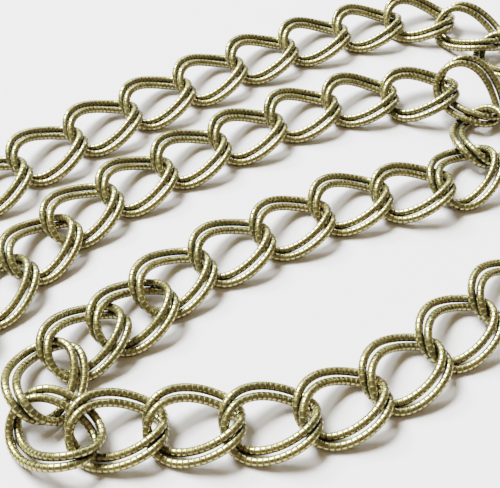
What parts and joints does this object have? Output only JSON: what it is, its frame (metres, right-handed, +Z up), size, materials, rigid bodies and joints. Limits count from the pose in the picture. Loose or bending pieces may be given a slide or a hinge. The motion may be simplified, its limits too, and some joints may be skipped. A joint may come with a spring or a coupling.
{
  "type": "heap of iron chain",
  "caption": "Long loose chain of twisted double wire links, antique brass finish, laid in winding rows on a table.",
  "frame": {"origin": "on the table, below the middle of the heap's bounding box", "axes": "+X along the rows to the right, +Y away from the viewer across the rows, +Z up"},
  "size_m": [0.1434, 0.1108, 0.0092],
  "materials": {
    "antique_brass_plate": "iron wire with notched surface, antique brass plate with dark patina in the grooves"
  },
  "bodies": {
    "root": {"double_link_01": "antique_brass_plate", "double_link_02": "antique_brass_plate", "double_link_03": "antique_brass_plate", "double_link_04": "antique_brass_plate", "double_link_05": "antique_brass_plate", "double_link_06": "antique_brass_plate", "double_link_07": "antique_brass_plate", "double_link_08": "antique_brass_plate", "double_link_09": "antique_brass_plate", "double_link_10": "antique_brass_plate", "double_link_11": "antique_brass_plate", "double_link_12": "antique_brass_plate", "double_link_13": "antique_brass_plate", "double_link_14": "antique_brass_plate", "double_link_15": "antique_brass_plate", "double_link_16": "antique_brass_plate", "double_link_17": "antique_brass_plate", "double_link_18": "antique_brass_plate", "double_link_19": "antique_brass_plate", "double_link_20": "antique_brass_plate", "double_link_21": "antique_brass_plate", "double_link_22": "antique_brass_plate", "double_link_23": "antique_brass_plate", "double_link_24": "antique_brass_plate", "double_link_25": "antique_brass_plate", "double_link_26": "antique_brass_plate", "double_link_27": "antique_brass_plate", "double_link_28": "antique_brass_plate", "double_link_29": "antique_brass_plate", "double_link_30": "antique_brass_plate", "double_link_31": "antique_brass_plate", "double_link_32": "antique_brass_plate", "double_link_33": "antique_brass_plate", "double_link_34": "antique_brass_plate", "double_link_35": "antique_brass_plate", "double_link_36": "antique_brass_plate", "double_link_37": "antique_brass_plate", "double_link_38": "antique_brass_plate", "double_link_39": "antique_brass_plate", "double_link_40": "antique_brass_plate", "double_link_41": "antique_brass_plate", "double_link_42": "antique_brass_plate", "double_link_43": "antique_brass_plate", "double_link_44": "antique_brass_plate", "double_link_45": "antique_brass_plate", "double_link_46": "antique_brass_plate", "double_link_47": "antique_brass_plate", "double_link_48": "antique_brass_plate"}
  },
  "joints": []
}
